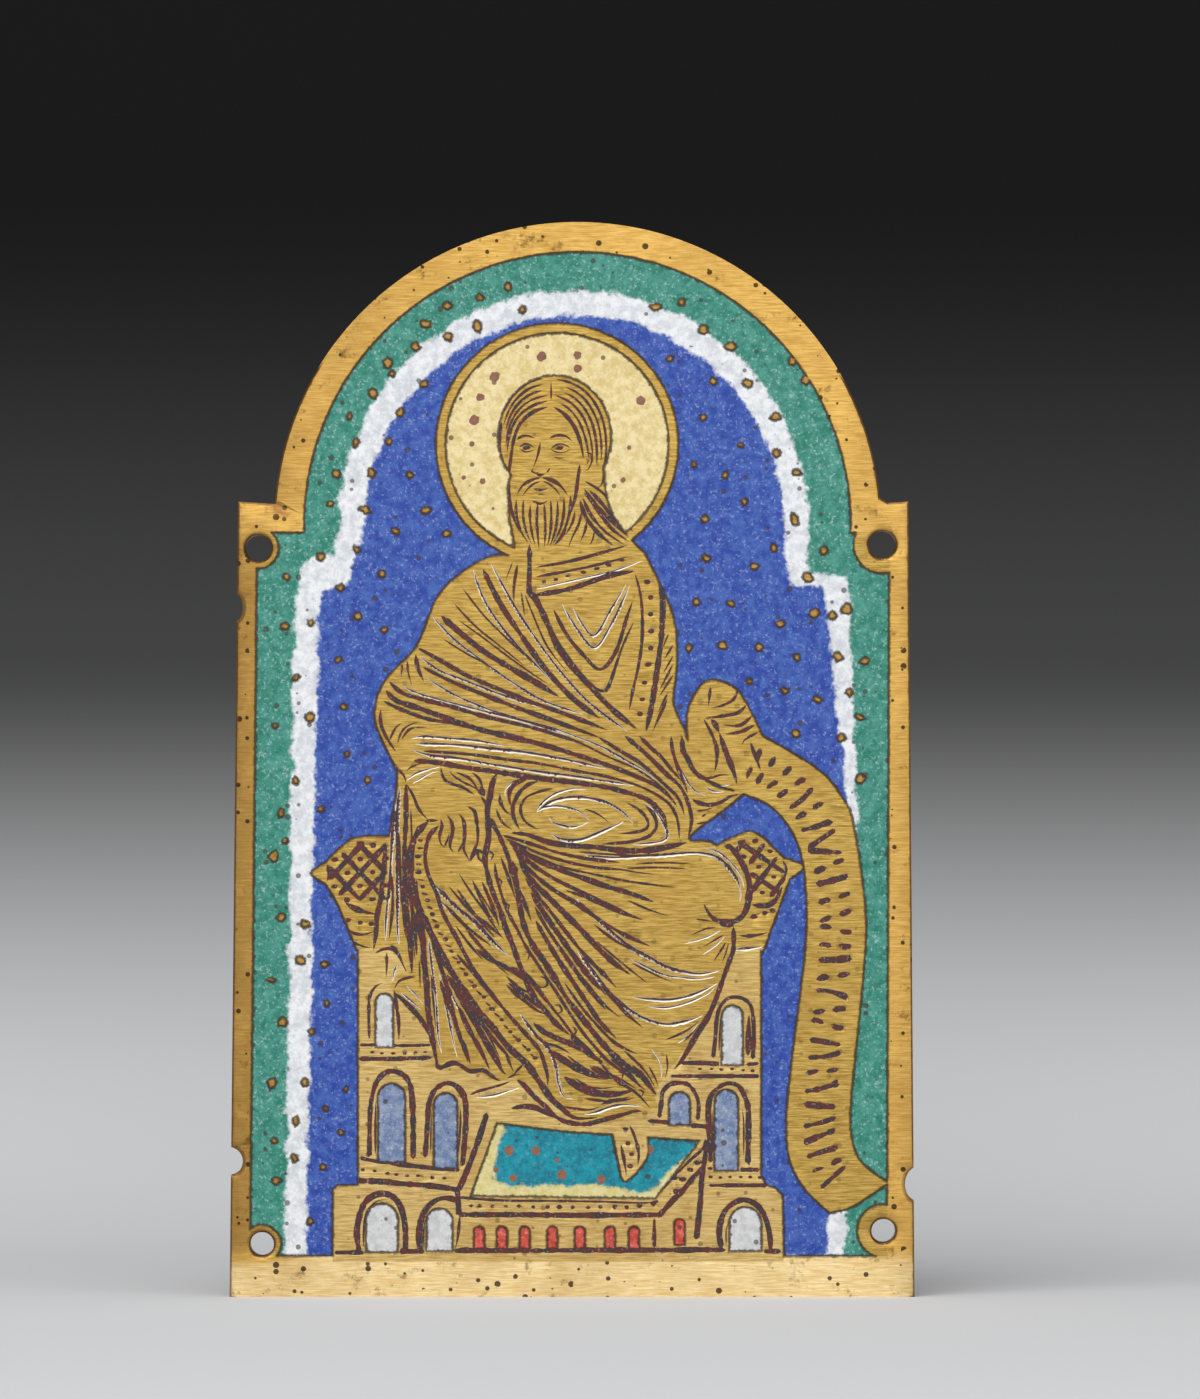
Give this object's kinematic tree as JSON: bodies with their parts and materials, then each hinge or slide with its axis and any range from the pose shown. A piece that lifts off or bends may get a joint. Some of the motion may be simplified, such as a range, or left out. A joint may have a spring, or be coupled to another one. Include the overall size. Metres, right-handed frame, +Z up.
{
  "type": "reliquary plaque",
  "caption": "Arched gilded copper plaque with a seated, engraved figure reserved against opaque champleve enamel, with pin holes for nailing to a casket.",
  "frame": {"origin": "middle of the flat back face, halfway up the plaque, on the surface that it is nailed against", "axes": "+Z up the plaque, +X to the viewer's right, and the engraved front looks towards -Y"},
  "size_m": [0.0571, 0.0026, 0.0896],
  "materials": {
    "gilt_copper": "fire-gilded copper, engraved, its gilding rubbed to brownish copper along the rims and spotted dark",
    "enamel_blue": "opaque champleve enamel, mid blue with paler and violet mottling, polished flush",
    "enamel_green": "opaque champleve enamel, blue-green, granular where it meets the white",
    "enamel_white": "opaque champleve enamel, greyish white",
    "enamel_cream": "opaque champleve enamel, yellowish cream with brown specks",
    "enamel_turquoise": "opaque champleve enamel, turquoise with dark red-brown rounds",
    "enamel_pale_blue": "opaque champleve enamel, pale blue",
    "enamel_red": "opaque champleve enamel, brick red"
  },
  "bodies": {
    "root": {"plate": "gilt_copper", "enamel_green_border": "enamel_green", "enamel_green_corner": "enamel_green", "enamel_white_line": "enamel_white", "enamel_white_corner": "enamel_white", "enamel_blue_field": "enamel_blue", "enamel_blue_elbow": "enamel_blue", "enamel_blue_left_strip": "enamel_blue", "enamel_blue_right_pocket": "enamel_blue", "enamel_halo": "enamel_cream", "enamel_footstool_middle": "enamel_turquoise", "enamel_footstool_edge": "enamel_cream", "window_upper_left": "enamel_white", "window_upper_right": "enamel_white", "window_lower_left_outer": "enamel_white", "window_lower_left_inner": "enamel_white", "window_lower_right": "enamel_white", "window_middle_left_outer": "enamel_pale_blue", "window_middle_left_inner": "enamel_pale_blue", "window_middle_right_inner": "enamel_pale_blue", "window_middle_right_outer": "enamel_pale_blue", "window_red_1": "enamel_red", "window_red_2": "enamel_red", "window_red_3": "enamel_red", "window_red_4": "enamel_red", "window_red_5": "enamel_red", "window_red_6": "enamel_red", "window_red_7": "enamel_red", "window_red_8": "enamel_red"}
  },
  "joints": []
}
